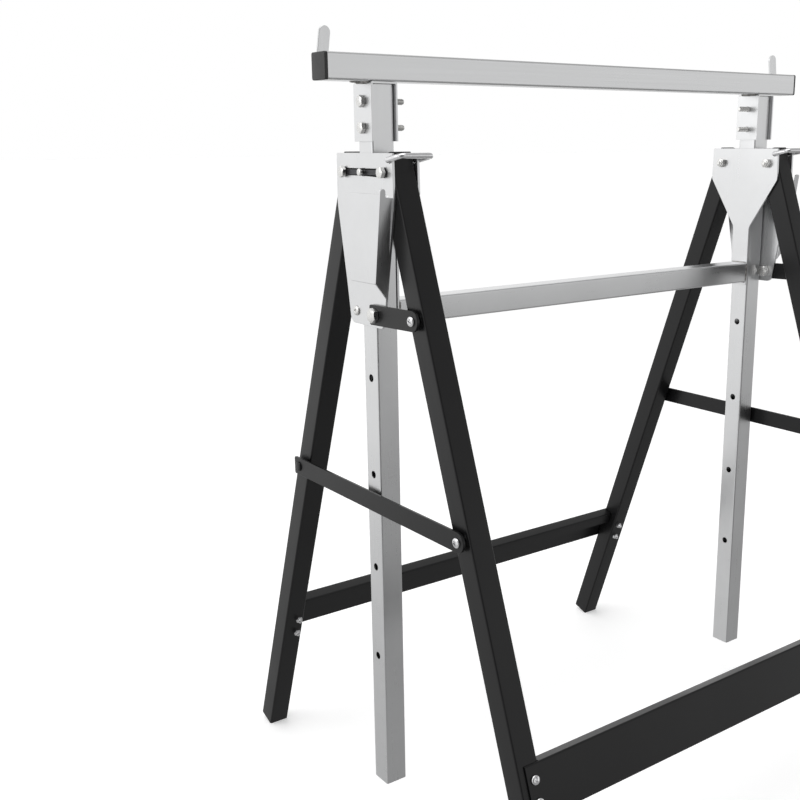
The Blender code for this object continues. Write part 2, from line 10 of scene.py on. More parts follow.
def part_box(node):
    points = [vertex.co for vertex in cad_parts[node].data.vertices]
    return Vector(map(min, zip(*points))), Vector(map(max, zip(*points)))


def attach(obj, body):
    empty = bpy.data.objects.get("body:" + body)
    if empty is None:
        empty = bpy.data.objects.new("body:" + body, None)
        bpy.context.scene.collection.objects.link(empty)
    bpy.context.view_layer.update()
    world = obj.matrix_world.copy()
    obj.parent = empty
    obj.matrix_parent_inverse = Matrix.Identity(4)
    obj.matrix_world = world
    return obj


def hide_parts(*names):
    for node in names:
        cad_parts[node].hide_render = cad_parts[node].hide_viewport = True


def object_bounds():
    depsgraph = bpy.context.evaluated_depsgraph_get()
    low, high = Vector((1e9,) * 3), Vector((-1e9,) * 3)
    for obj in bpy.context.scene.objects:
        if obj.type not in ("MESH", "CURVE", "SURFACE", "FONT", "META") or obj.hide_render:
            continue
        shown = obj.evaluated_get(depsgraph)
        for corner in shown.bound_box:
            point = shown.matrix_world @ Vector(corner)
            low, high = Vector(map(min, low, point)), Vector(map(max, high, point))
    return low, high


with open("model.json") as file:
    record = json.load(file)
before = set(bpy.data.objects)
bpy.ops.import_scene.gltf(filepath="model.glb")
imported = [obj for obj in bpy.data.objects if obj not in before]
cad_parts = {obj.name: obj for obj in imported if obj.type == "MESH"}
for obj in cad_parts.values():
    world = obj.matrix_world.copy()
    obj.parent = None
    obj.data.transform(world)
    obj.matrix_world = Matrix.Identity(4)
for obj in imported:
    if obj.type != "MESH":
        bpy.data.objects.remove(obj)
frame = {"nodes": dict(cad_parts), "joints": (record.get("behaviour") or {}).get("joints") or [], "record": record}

bl_info = {
    "name": "Folding sawhorse",
    "version": (1, 0, 0),
    "blender": (4, 5, 0),
    "location": "3D View > Sidebar > Sawhorse",
    "description": "Gives a folding steel sawhorse its finishes, fasteners, caps, welds and studio",
    "category": "Object",
}

# The frame: X along the beam, -Y the front, Z up. Lengths are in metres.
CAD_LOW, CAD_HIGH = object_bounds()
JOINTS = {joint["name"]: joint for joint in frame["joints"]}
BODY_OF = {node: body for body, nodes in frame["record"]["behaviour"]["bodies"].items() for node in nodes}
SIDES = (("left", -1), ("right", 1))
ROWS = (("front", -1), ("rear", 1))
POST_X = sum(corner.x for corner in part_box("post_right")) / 2
HALF = (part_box("post_right")[1].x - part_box("post_right")[0].x) / 2
PIVOT = Vector(JOINTS["rear_legs_fold"]["pos_m"])
LEAN = radians(19.3)
LEG_TOP = 0.0147
PLATE_OUT = HALF + 0.0028
WALL = 0.0015
SHARP = radians(35)

# Hexagons are given by the radius of their corners, and heads by radius and height.
M5_HEX = 0.0046
M6_HEX = 0.00577
M8_HEX = 0.0075
CORNER_TO_SHANK = 1.925
NUT_HEIGHT = 0.005


# ---------------------------------------------------------------- properties

class SawhorseSizes(bpy.types.PropertyGroup):
    """Sizes of the details that are added to the frame."""
    edge: FloatProperty(name="Sheet edge", description="Rounding of the edges of cut and pressed sheet",
                        default=0.0004, min=0.0001, max=0.001, precision=4, unit="LENGTH")
    cap_height: FloatProperty(name="Leg cap height",
                              description="How far a leg's top cap stands above its tube",
                              default=0.0016, min=0.0005, max=0.002, precision=4, unit="LENGTH")
    emboss: FloatProperty(name="Emboss height",
                          description="Height of the panel pressed into each outer plate",
                          default=0.0006, min=0.0001, max=0.001, precision=4, unit="LENGTH")
    bead: FloatProperty(name="Weld bead", description="Radius of the weld beads",
                        default=0.0016, min=0.0005, max=0.003, precision=4, unit="LENGTH")
    turns: IntProperty(name="Sides of a turned part", description="Facets round a bolt, rivet or screw",
                       default=32, min=12, max=64)
    camera_lens: FloatProperty(name="Lens", description="Focal length of the camera in millimetres",
                               default=48.06, min=20, max=120)


class SawhorseFinishes(bpy.types.PropertyGroup):
    """Colours and gloss of the finishes."""
    galvanised: FloatVectorProperty(name="Galvanised steel", description="Tint of the bright zinc coating",
                                    subtype="COLOR", size=3, default=(0.73, 0.735, 0.74), min=0, max=1)
    zinc: FloatVectorProperty(name="Zinc plate", description="Tint of the bolts, nuts and rivets",
                              subtype="COLOR", size=3, default=(0.78, 0.775, 0.76), min=0, max=1)
    chrome: FloatVectorProperty(name="Bright plate",
                                description="Tint of the wire bails and cross-head screws",
                                subtype="COLOR", size=3, default=(0.82, 0.82, 0.83), min=0, max=1)
    spring: FloatVectorProperty(name="Spring steel", description="Tint of the dark spring strips",
                                subtype="COLOR", size=3, default=(0.075, 0.075, 0.08), min=0, max=1)
    paint: FloatVectorProperty(name="Black powder coat",
                               description="Colour of the legs, braces and crossbars",
                               subtype="COLOR", size=3, default=(0.004, 0.004, 0.0044), min=0, max=1)
    plastic: FloatVectorProperty(name="Black plastic", description="Colour of the caps and plugs",
                                 subtype="COLOR", size=3, default=(0.016, 0.016, 0.0165), min=0, max=1)
    gloss: FloatProperty(name="Paint roughness", description="Middle roughness of the powder coat",
                         subtype="FACTOR", default=0.34, min=0.05, max=0.8)


def sizes():
    return bpy.context.scene.sawhorse_sizes


def finishes():
    return bpy.context.scene.sawhorse_finishes


# ---------------------------------------------------------------- materials

class Finish:
    """A material whose nodes are added one by one, with its patterns on Object coordinates."""

    def __init__(self, name):
        self.material = bpy.data.materials.new(name)
        self.material.use_nodes = True
        self.tree = self.material.node_tree
        self.shader = self.tree.nodes["Principled BSDF"]
        self.coords = self.tree.nodes.new("ShaderNodeTexCoord").outputs["Object"]

    def node(self, kind, inputs=None, **settings):
        made = self.tree.nodes.new(kind)
        for key, value in settings.items():
            setattr(made, key, value)
        for key, value in (inputs or {}).items():
            self.feed(made.inputs[key], value)
        return made

    def feed(self, socket, value):
        if isinstance(value, bpy.types.NodeSocket):
            self.tree.links.new(value, socket)
        else:
            socket.default_value = value

    def stretched(self, scale):
        """Object coordinates scaled unevenly, for grain that runs one way."""
        return self.node("ShaderNodeMapping", {"Vector": self.coords, "Scale": scale}).outputs["Vector"]

    def noise(self, scale, detail=2.0, vector=None, rough=0.5):
        return self.node("ShaderNodeTexNoise", {"Vector": vector or self.coords, "Scale": scale,
                                                "Detail": detail, "Roughness": rough}).outputs["Fac"]

    def remap(self, value, low, high, out_low, out_high):
        """A value moved from one range to another, and held inside it."""
        return self.node("ShaderNodeMapRange", {"Value": value, "From Min": low, "From Max": high,
                                                "To Min": out_low, "To Max": out_high}).outputs["Result"]

    def maths(self, operation, first, second):
        return self.node("ShaderNodeMath", {0: first, 1: second}, operation=operation).outputs[0]

    def tint(self, value, low, high, dark, light):
        """A colour between two, by a value's place in a range."""
        mix = self.node("ShaderNodeMix", {"Factor": self.remap(value, low, high, 0, 1)}, data_type="RGBA")
        colours = [socket for socket in mix.inputs if socket.type == "RGBA"]
        self.feed(colours[0], (*dark, 1))
        self.feed(colours[1], (*light, 1))
        return [socket for socket in mix.outputs if socket.type == "RGBA"][0]

    def bump(self, height, distance, strength, under=None):
        inputs = {"Height": height, "Distance": distance, "Strength": strength}
        if under:
            inputs["Normal"] = under
        return self.node("ShaderNodeBump", inputs).outputs["Normal"]

    def shade(self, **values):
        """Set the shader's sockets: plain values stay on them, textures are linked."""
        for name, value in values.items():
            self.feed(self.shader.inputs[name.replace("_", " ")], value)
        return self.material


def shaded(colour, factor):
    return tuple(min(1, channel * factor) for channel in colour)


def galvanised(name, along):
    """Bright zinc-coated steel: soft mottling, faint flakes, and rolling lines along one axis."""
    tint = finishes().galvanised
    steel = Finish(name)
    grain = [900, 900, 900]
    grain["XYZ".index(along)] = 5
    lines = steel.noise(1.0, 3, steel.stretched(grain), 0.6)
    cloud = steel.noise(16, 4)
    flake = steel.node("ShaderNodeTexVoronoi", {"Vector": steel.coords, "Scale": 150.0}).outputs["Color"]
    tone = steel.maths("ADD", steel.maths("MULTIPLY", cloud, 0.8), steel.maths("MULTIPLY", flake, 0.08))
    gloss = steel.maths("ADD", steel.maths("MULTIPLY", lines, 0.55), steel.maths("MULTIPLY", tone, 0.45))
    scratch = steel.noise(1.0, 2, steel.stretched([value / 6 for value in grain]), 0.7)
    worn = steel.remap(scratch, 0.70, 0.76, 0, 1)
    dull = steel.maths("ADD", steel.remap(gloss, 0.3, 0.72, 0.26, 0.36), steel.maths("MULTIPLY", worn, 0.08))
    fine = steel.bump(lines, 0.00004, 0.30)
    wavy = steel.bump(cloud, 0.0008, 0.06, fine)
    return steel.shade(Base_Color=steel.tint(tone, 0.3, 0.7, shaded(tint, 0.96), shaded(tint, 1.03)),
                       Metallic=1.0, Roughness=dull, Normal=wavy)


def zinc_plate(name, tint, low, high):
    """Plated fasteners: small clouds in colour and gloss, with turned and rolled marks."""
    plate = Finish(name)
    cloud = plate.noise(420, 3)
    fine = plate.noise(3200, 2)
    return plate.shade(Base_Color=plate.tint(cloud, 0.3, 0.7, shaded(tint, 0.86), shaded(tint, 1.05)),
                       Metallic=1.0, Roughness=plate.remap(cloud, 0.3, 0.7, low, high),
                       Normal=plate.bump(fine, 0.00002, 0.5))


def powder_coat(name):
    """Semi-gloss black powder coat with its fine orange peel and a few lighter rubs."""
    tint = finishes().paint
    gloss = finishes().gloss
    paint = Finish(name)
    cloud = paint.noise(14, 4)
    peel = paint.noise(760, 2)
    speck = paint.noise(2600, 1)
    rub = paint.remap(paint.noise(95, 5, None, 0.7), 0.66, 0.74, 0, 0.06)
    dull = paint.maths("ADD", paint.remap(cloud, 0.3, 0.7, gloss - 0.05, gloss + 0.05), rub)
    skin = paint.bump(peel, 0.00010, 0.30, paint.bump(speck, 0.00002, 0.25))
    return paint.shade(Base_Color=paint.tint(cloud, 0.3, 0.7, shaded(tint, 0.85), shaded(tint, 1.2)),
                       Roughness=dull, Normal=skin, Specular_IOR_Level=0.32, Coat_Weight=0.06,
                       Coat_Roughness=0.18)


def moulded_plastic(name):
    """Black moulded plastic with a fine spark-eroded grain."""
    tint = finishes().plastic
    plastic = Finish(name)
    grain = plastic.noise(1900, 3)
    cloud = plastic.noise(60, 3)
    return plastic.shade(Base_Color=plastic.tint(cloud, 0.3, 0.7, shaded(tint, 0.85), shaded(tint, 1.2)),
                         Roughness=plastic.remap(grain, 0.3, 0.7, 0.42, 0.58),
                         Normal=plastic.bump(grain, 0.00006, 0.5))


def weld_metal(name):
    """Bare weld metal: dull, with heat tints."""
    weld = Finish(name)
    cloud = weld.noise(330, 4)
    return weld.shade(Base_Color=weld.tint(cloud, 0.35, 0.65, (0.20, 0.19, 0.18), (0.50, 0.49, 0.47)),
                      Metallic=1.0, Roughness=weld.remap(cloud, 0.3, 0.7, 0.35, 0.6),
                      Normal=weld.bump(weld.noise(1500, 3), 0.0001, 0.6))


MATERIALS = {}


def finish(name):
    """The shared material of a finish, made when it is first asked for."""
    if name not in MATERIALS:
        MATERIALS[name] = {
            "galvanised_x": lambda: galvanised("galvanised_x", "X"),
            "galvanised_z": lambda: galvanised("galvanised_z", "Z"),
            "zinc": lambda: zinc_plate("zinc", finishes().zinc, 0.16, 0.34),
            "chrome": lambda: zinc_plate("chrome", finishes().chrome, 0.07, 0.17),
            "spring": lambda: zinc_plate("spring", finishes().spring, 0.24, 0.42),
            "paint": lambda: powder_coat("paint"),
            "plastic": lambda: moulded_plastic("plastic"),
            "weld": lambda: weld_metal("weld"),
        }[name]()
    return MATERIALS[name]


# ---------------------------------------------------------------- making pieces

def as_object(name, work):
    """An object at the origin from a bmesh."""
    mesh = bpy.data.meshes.new(name)
    work.to_mesh(mesh)
    work.free()
    made = bpy.data.objects.new(name, mesh)
    bpy.context.scene.collection.objects.link(made)
    return made


def piece(name, work, material, body, nodes=()):
    """An object from a bmesh, shaded smooth up to its sharp edges, riding on a body."""
    for face in work.faces:
        face.smooth = True
    for edge in work.edges:
        edge.smooth = edge.calc_face_angle(pi) < SHARP
    made = as_object(name, work)
    made.data.materials.append(finish(material))
    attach(made, body)
    if nodes:
        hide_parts(*nodes)
    return made


def soften(made, width, segments=2):
    """Round a piece's sharp edges and keep its flat faces flat."""
    bevel = made.modifiers.new("Edges", "BEVEL")
    bevel.width = width
    bevel.segments = segments
    bevel.limit_method = "ANGLE"
    bevel.angle_limit = SHARP
    normals = made.modifiers.new("Normals", "WEIGHTED_NORMAL")
    normals.keep_sharp = True


def refined(node, material):
    """A frame node's own shape, merged, with its cut edges rounded."""
    work = bmesh.new()
    work.from_mesh(frame["nodes"][node].data)
    bmesh.ops.remove_doubles(work, verts=work.verts, dist=0.000005)
    bmesh.ops.dissolve_limit(work, angle_limit=radians(0.4), verts=work.verts, edges=work.edges,
                             use_dissolve_boundaries=False)
    made = piece(node + "_finished", work, material, BODY_OF[node], [node])
    soften(made, sizes().edge)


def turned(work, profile, place, steps=None):
    """A solid turned about Z from (radius, height) points that start and end on the axis."""
    corners = [work.verts.new((radius, 0, height)) for radius, height in profile]
    edges = [work.edges.new(pair) for pair in zip(corners, corners[1:])]
    made = bmesh.ops.spin(work, geom=corners + edges, cent=(0, 0, 0), axis=(0, 0, 1), angle=2 * pi,
                          steps=steps or sizes().turns, use_merge=True, use_duplicate=False)
    shell = connected(corners + [item for item in made["geom_last"] if isinstance(item, bmesh.types.BMVert)])
    bmesh.ops.remove_doubles(work, verts=shell, dist=0.000004)
    shell = [vert for vert in shell if vert.is_valid]
    faces = list(dict.fromkeys(face for vert in shell for face in vert.link_faces))
    bmesh.ops.recalc_face_normals(work, faces=faces)
    bmesh.ops.transform(work, matrix=place, verts=shell)


def connected(start):
    """Every vertex joined to the given ones by edges, in the same order each time."""
    found = dict.fromkeys(start)
    waiting = list(found)
    while waiting:
        vert = waiting.pop()
        for edge in vert.link_edges:
            other = edge.other_vert(vert)
            if other not in found:
                found[other] = None
                waiting.append(other)
    return list(found)


def merge_in(work, part, place):
    """Add one bmesh to another, in its place."""
    bmesh.ops.transform(part, matrix=place, verts=part.verts)
    mesh = bpy.data.meshes.new("part")
    part.to_mesh(mesh)
    part.free()
    work.from_mesh(mesh)
    bpy.data.meshes.remove(mesh)


def hexagon(work, radius, low, high, place, both=False):
    """A hexagonal head or nut between two heights, its corners chamfered to a cone."""
    part = bmesh.new()
    bmesh.ops.create_cone(part, cap_ends=True, segments=6, radius1=radius, radius2=radius, depth=high - low,
                          matrix=Matrix.Translation((0, 0, (low + high) / 2)))
    flat = radius * cos(pi / 6) * 0.985
    slope = 1.9
    for end, way in ((high, 1), (low, -1)) if both else ((high, 1),):
        for corner in range(6):
            for swing in (-14, 0, 14):
                turn = radians(90 + corner * 60 + swing)
                outward = Vector((cos(turn), sin(turn), way * slope))
                bmesh.ops.bisect_plane(part, geom=part.verts[:] + part.edges[:] + part.faces[:],
                                       dist=0.0000001, plane_co=(flat * cos(turn), flat * sin(turn), end),
                                       plane_no=outward, clear_outer=True)
                open_edges = [edge for edge in part.edges if edge.is_boundary]
                if open_edges:
                    bmesh.ops.holes_fill(part, edges=open_edges, sides=0)
    bmesh.ops.recalc_face_normals(part, faces=part.faces)
    merge_in(work, part, place)


def box_shape(size, centre, rounding, rim=0.0, rim_end=None, segments=4):
    """A block whose upright edges are rounded, and whose rim at one or both ends is eased too."""
    part = bmesh.new()
    bmesh.ops.create_cube(part, size=1)
    bmesh.ops.scale(part, vec=size, verts=part.verts)
    upright = [edge for edge in part.edges if abs(edge.verts[0].co.z - edge.verts[1].co.z) > size[2] / 2]
    bmesh.ops.bevel(part, geom=upright, offset=rounding, offset_type="OFFSET", segments=segments, profile=0.5,
                    affect="EDGES", material=-1)
    if rim:
        ends = (-1, 1) if rim_end is None else (rim_end,)
        edges = [edge for edge in part.edges for end in ends
                 if all(abs(vert.co.z - end * size[2] / 2) < 0.00001 for vert in edge.verts)]
        bmesh.ops.bevel(part, geom=edges, offset=rim, offset_type="OFFSET", segments=3, profile=0.5,
                        affect="EDGES", material=-1)
    bmesh.ops.translate(part, vec=centre, verts=part.verts)
    return part


def thread_profile(radius, low, high, pitch):
    """Points down a threaded shank: ridges between two heights, with a chamfered tip."""
    root = radius - 0.55 * pitch
    points = []
    count = int((high - low - pitch) / pitch)
    for step in range(count):
        top = high - step * pitch
        points += [(root, top), (root, top - 0.15 * pitch), (radius, top - 0.5 * pitch),
                   (radius, top - 0.6 * pitch)]
    points += [(root, high - count * pitch), (root, low + 0.3 * pitch), (root - 0.4 * pitch, low), (0, low)]
    return points


def facing(point, direction, roll=0.0):
    """A place whose Z looks along a direction."""
    turn = Vector(direction).to_track_quat("Z", "Y").to_matrix().to_4x4()
    return Matrix.Translation(point) @ turn @ Matrix.Rotation(roll, 4, "Z")


def centre_of(node):
    low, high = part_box(node)
    return (low + high) / 2


def on_post(side, out, node):
    """A point on a node's own axis, at a distance outwards from its post's centre plane."""
    middle = centre_of(node)
    return Vector((side * (POST_X + out), middle.y, middle.z))


def out_face(side, node):
    """How far outwards from its post's centre plane a node reaches."""
    low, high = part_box(node)
    return (high.x if side > 0 else -low.x) - POST_X


def leg_frame(way):
    """The place of a pair of legs: its origin on the pivot, its Z up along the legs."""
    return Matrix.Translation((0, way * PIVOT.y, PIVOT.z)) @ Matrix.Rotation(way * LEAN, 4, "X")


def leg_reach():
    """Distance down a leg from its pivot to its square-cut end."""
    return (PIVOT.z - HALF * sin(LEAN)) / cos(LEAN)


# ---------------------------------------------------------------- shapes of fasteners

def dome(radius, height, edge, steps=8):
    """The profile of a pan head from its rim over its crown to the axis, listed upwards."""
    points = [(radius, 0.0), (radius, edge)]
    for step in range(1, steps + 1):
        turn = step / steps * pi / 2
        out = radius * cos(turn) ** 0.55 if step < steps else 0.0
        points.append((out, edge + (height - edge) * sin(turn)))
    return points


def hex_bolt(work, place, size, head, length, pitch, nut, collar):
    """A hexagon-head bolt: head above Z = 0, threaded shank and nut below, a collar on the nut or none."""
    hexagon(work, size, 0.0, head, place)
    shank = size / CORNER_TO_SHANK
    profile = [(0, 0.0004), (shank * 1.62, 0.0004), (shank * 1.62, 0.0), (shank, 0.0), (shank, -0.002)]
    profile += thread_profile(shank, -length, -0.0022, pitch)
    turned(work, profile, place)
    back = nut - NUT_HEIGHT
    hexagon(work, size, back, nut, place, both=True)
    if collar:
        turned(work, [(0, back), (shank * 1.45, back), (shank * 1.40, back - 0.0012),
                      (shank * 1.05, back - 0.0016), (0, back - 0.0016)], place)


def cross_cutter(arm, slot, depth):
    """A tapering cross, for the recess of a cross-head screw."""
    part = bmesh.new()
    bmesh.ops.create_grid(part, x_segments=3, y_segments=3, size=1)
    corners = [face for face in part.faces
               if abs(face.calc_center_median().x) > 0.5 and abs(face.calc_center_median().y) > 0.5]
    bmesh.ops.delete(part, geom=corners, context="FACES")
    for vert in part.verts:
        for axis in (0, 1):
            reach = arm if abs(vert.co[axis]) > 0.5 else slot
            vert.co[axis] = reach if vert.co[axis] > 0 else -reach
    made = bmesh.ops.extrude_face_region(part, geom=part.faces[:])
    deep = [item for item in made["geom"] if isinstance(item, bmesh.types.BMVert)]
    bmesh.ops.scale(part, vec=(0.55, 0.55, 1), verts=deep)
    bmesh.ops.translate(part, vec=(0, 0, -depth), verts=deep)
    bmesh.ops.recalc_face_normals(part, faces=part.faces)
    return part


def cross_head(radius, height):
    """The mesh of a domed head with its cross recess cut out, above Z = 0."""
    work = bmesh.new()
    turned(work, [(0, 0)] + dome(radius, height, height * 0.22), Matrix.Identity(4), 40)
    head = as_object("cross_head", work)
    cutter = cross_cutter(radius * 0.62, radius * 0.15, height * 0.72)
    bmesh.ops.translate(cutter, vec=(0, 0, height * 1.08), verts=cutter.verts)
    tool = as_object("cross_cutter", cutter)
    cut = head.modifiers.new("Recess", "BOOLEAN")
    cut.operation = "DIFFERENCE"
    cut.solver = "EXACT"
    cut.object = tool
    bpy.context.view_layer.update()
    mesh = bpy.data.meshes.new_from_object(head.evaluated_get(bpy.context.evaluated_depsgraph_get()))
    bpy.data.objects.remove(head, do_unlink=True)
    bpy.data.objects.remove(tool, do_unlink=True)
    return mesh


def add_mesh(work, mesh, place):
    part = bmesh.new()
    part.from_mesh(mesh)
    merge_in(work, part, place)


def closed_ring(work, radius, segments, place):
    """The edges of a filled circle, from which a bead or a wire starts."""
    made = bmesh.ops.create_circle(work, cap_ends=False, segments=segments, radius=radius, matrix=place)
    ring = list(dict.fromkeys(edge for vert in made["verts"] for edge in vert.link_edges))
    bmesh.ops.holes_fill(work, edges=ring, sides=0)
    return ring


def carried(work, ring):
    """The vertices and edges of a ring's copy, joined to it by a wall and still in its place."""
    grown = bmesh.ops.extrude_edge_only(work, edges=ring)["geom"]
    verts = [item for item in grown if isinstance(item, bmesh.types.BMVert)]
    edges = [item for item in grown if isinstance(item, bmesh.types.BMEdge)
             and all(vert in verts for vert in item.verts)]
    return verts, edges


def bead(work, start, end, radius, ripple=0.0016):
    """A rippled weld bead between two points."""
    along = Vector(end) - Vector(start)
    count = max(4, round(along.length / ripple * 4))
    size = 0.5
    ring = closed_ring(work, radius * size, 10, facing(start, along))
    for step in range(1, count + 1):
        swell = 0.5 if step == count else 0.88 + 0.12 * cos(step * pi / 2) + 0.04 * sin(step * 1.7)
        verts, ring = carried(work, ring)
        bmesh.ops.translate(work, vec=along / count, verts=verts)
        centre = sum((vert.co for vert in verts), Vector()) / len(verts)
        bmesh.ops.scale(work, vec=(swell / size,) * 3, verts=verts, space=Matrix.Translation(-centre))
        size = swell
    bmesh.ops.holes_fill(work, edges=ring, sides=0)
    bmesh.ops.recalc_face_normals(work, faces=work.faces)


# ---------------------------------------------------------------- operators

class SAWHORSE_OT_galvanised_steel(bpy.types.Operator):
    """Finish the beam, posts, tie bar, saddles, plates and stop tabs in bright zinc"""
    bl_idname = "sawhorse.galvanised_steel"
    bl_label = "Galvanised steel"

    def execute(self, context):
        refined("beam", "galvanised_x")
        refined("tie_bar", "galvanised_x")
        for end, _ in SIDES:
            for part in ("post", "saddle", "outer_plate", "inner_plate", "stop_tab"):
                refined(part + "_" + end, "galvanised_z")
        return {"FINISHED"}


class SAWHORSE_OT_painted_steel(bpy.types.Operator):
    """Finish the legs, crossbars and braces in black powder coat"""
    bl_idname = "sawhorse.painted_steel"
    bl_label = "Painted steel"

    def execute(self, context):
        for row, _ in ROWS:
            refined(row + "_crossbar", "paint")
            for end, _ in SIDES:
                refined("%s_leg_%s" % (row, end), "paint")
        for end, _ in SIDES:
            refined("long_brace_" + end, "paint")
            refined("short_brace_" + end, "paint")
        return {"FINISHED"}


class SAWHORSE_OT_hexagon_bolts(bpy.types.Operator):
    """Make the saddle bolts, the legs' pivot bolts, the short braces' bolts and their nuts"""
    bl_idname = "sawhorse.hexagon_bolts"
    bl_label = "Hexagon bolts"

    HEAD = 0.004
    BRACE_HEAD = 0.0052
    # How far past the post's centre plane the nuts begin, inside the post or behind the inner plate.
    SADDLE_NUT = 0.0055
    PIVOT_NUT = HALF + 0.0031

    def execute(self, context):
        for end, side in SIDES:
            names = ["saddle_bolt_%s_%s" % (end, place) for place in ("upper", "lower")]
            names += ["%s_pivot_bolt_%s" % (row, end) for row, _ in ROWS]
            for index, node in enumerate(names):
                self.through_bolt(node, side, radians(17 * index))
            self.brace_bolt(end, side)
            self.brace_nut(end, side)
        return {"FINISHED"}

    def through_bolt(self, node, side, roll):
        """An M6 bolt through a post or a pair of plates, its nut past the post's centre plane."""
        low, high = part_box(node)
        seat = out_face(side, node) - self.HEAD
        length = high.x - low.x - self.HEAD
        in_post = node.startswith("saddle")
        nut = -seat - (self.SADDLE_NUT if in_post else self.PIVOT_NUT)
        work = bmesh.new()
        place = facing(on_post(side, seat, node), (side, 0, 0), roll)
        hex_bolt(work, place, M6_HEX, self.HEAD, length, 0.001, nut, collar=not in_post)
        piece(node + "_turned", work, "zinc", BODY_OF[node], [node])

    def brace_bolt(self, end, side):
        node = "short_brace_bolt_" + end
        low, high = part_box(node)
        seat = out_face(side, node) - self.BRACE_HEAD
        place = facing(on_post(side, seat, node), (side, 0, 0), radians(8))
        tip = self.BRACE_HEAD - (high.x - low.x)
        work = bmesh.new()
        hexagon(work, M8_HEX, 0.0, self.BRACE_HEAD, place)
        turned(work, [(0, 0.0005), (0.0064, 0.0005), (0.0064, 0.0), (0.004, 0.0), (0.004, tip), (0, tip)],
               place)
        piece(node + "_turned", work, "zinc", BODY_OF[node], [node])

    def brace_nut(self, end, side):
        node = "brace_nut_" + end
        low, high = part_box(node)
        place = facing(on_post(side, out_face(side, node), node), (side, 0, 0), pi / 6)
        work = bmesh.new()
        hexagon(work, M8_HEX, low.x - high.x, 0.0, place, both=True)
        piece(node + "_cut", work, "zinc", BODY_OF[node], [node])


class SAWHORSE_OT_cross_screws(bpy.types.Operator):
    """Make the cross-head screws of the crossbars and of the braces, with nuts and washers"""
    bl_idname = "sawhorse.cross_screws"
    bl_label = "Cross-head screws"

    # Down the leg from its pivot, towards the middle from its axis, and the faces under head and nut.
    DROPS = (("upper", 0.5796), ("lower", 0.6008))
    INWARD = 0.004
    SEAT = 0.0146
    NUT = -0.0128
    CROSSBAR_HEAD = (0.0047, 0.0026)
    BRACE_HEAD = (0.005, 0.0023)
    WASHER = 0.0022

    def execute(self, context):
        head = cross_head(*self.CROSSBAR_HEAD)
        for row, way in ROWS:
            for end, side in SIDES:
                for place, drop in self.DROPS:
                    node = "%s_crossbar_screw_%s_%s" % (row, end, place)
                    self.crossbar_screw(node, head, way, side * (POST_X - self.INWARD), drop)
        head = cross_head(*self.BRACE_HEAD)
        for end, side in SIDES:
            for name in ("long", "short"):
                self.brace_screw("%s_brace_screw_%s" % (name, end), head, side)
        return {"FINISHED"}

    def crossbar_screw(self, node, head, way, x, drop):
        spin = radians(37 * len(node) + 1900 * x)
        place = leg_frame(way) @ facing((x, way * self.SEAT, -drop), (0, way, 0), spin)
        work = bmesh.new()
        add_mesh(work, head, place)
        nut = self.NUT - self.SEAT
        thread = thread_profile(0.0025, nut - 0.0082, -0.001, 0.0008)
        turned(work, [(0, 0.0004), (0.0024, 0.0004)] + thread, place)
        hexagon(work, M5_HEX, nut - 0.004, nut, place, both=True)
        piece(node + "_turned", work, "chrome", BODY_OF[node], [node])

    def brace_screw(self, node, head, side):
        low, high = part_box(node)
        height = self.BRACE_HEAD[1]
        seat = out_face(side, node) - height
        place = facing(on_post(side, seat, node), (side, 0, 0), radians(25 if "long" in node else 70))
        work = bmesh.new()
        add_mesh(work, head, place)
        tip = height - (high.x - low.x)
        front = PLATE_OUT - seat
        back = front - self.WASHER
        turned(work, [(0, 0.0003), (0.003, 0.0003), (0.003, front), (0.006, front), (0.006, back),
                      (0.003, back), (0.003, tip), (0, tip)], place)
        piece(node + "_turned", work, "chrome", BODY_OF[node], [node])


class SAWHORSE_OT_rivets_and_studs(bpy.types.Operator):
    """Make the guide rivets, the stop tabs' rivets and the long braces' studs"""
    bl_idname = "sawhorse.rivets_and_studs"
    bl_label = "Rivets and studs"

    def execute(self, context):
        for end, side in SIDES:
            self.guide_rivet("guide_rivet_" + end, side)
            self.tab_rivet("tab_rivet_" + end)
            self.brace_stud("long_brace_stud_" + end, side)
        return {"FINISHED"}

    def guide_rivet(self, node, side):
        low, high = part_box(node)
        crown = 0.002
        seat = out_face(side, node) - crown
        shoulder = HALF - seat
        back = crown - (high.x - low.x)
        work = bmesh.new()
        turned(work, [(0, 0.0009), (0.0013, 0.0009), (0.0018, 0.0018), (0.0034, 0.0019), (0.0046, 0.0012),
                      (0.005, 0.0), (0.0025, 0.0), (0.0025, shoulder), (0.0061, shoulder),
                      (0.0066, shoulder - 0.0005), (0.0066, back + 0.0005), (0.0061, back), (0, back)],
               facing(on_post(side, seat, node), (side, 0, 0)))
        piece(node + "_turned", work, "zinc", BODY_OF[node], [node])

    def tab_rivet(self, node):
        low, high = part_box(node)
        middle = centre_of(node)
        crown = 0.0018
        back = crown - (high.y - low.y)
        tail = [(0.0025, 0.0), (0.0025, back + 0.002), (0.0032, back + 0.002), (0.0030, back + 0.0003),
                (0.0024, back), (0, back)]
        work = bmesh.new()
        turned(work, dome(0.0045, crown, 0.0003)[::-1] + tail,
               facing((middle.x, high.y - crown, middle.z), (0, 1, 0)))
        piece(node + "_turned", work, "zinc", BODY_OF[node], [node])

    def brace_stud(self, node, side):
        low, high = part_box(node)
        crown, neck = 0.0019, -0.0036
        back = crown - (high.x - low.x)
        work = bmesh.new()
        turned(work, [(0, crown), (0.0036, crown), (0.0050, 0.0014), (0.0055, 0.0006), (0.0055, 0.0),
                      (0.004, 0.0), (0.004, neck), (0.0058, neck), (0.006, neck - 0.0002),
                      (0.006, back + 0.0002), (0.0058, back), (0, back)],
               facing(on_post(side, out_face(side, node) - crown, node), (side, 0, 0)))
        piece(node + "_turned", work, "paint", BODY_OF[node], [node])


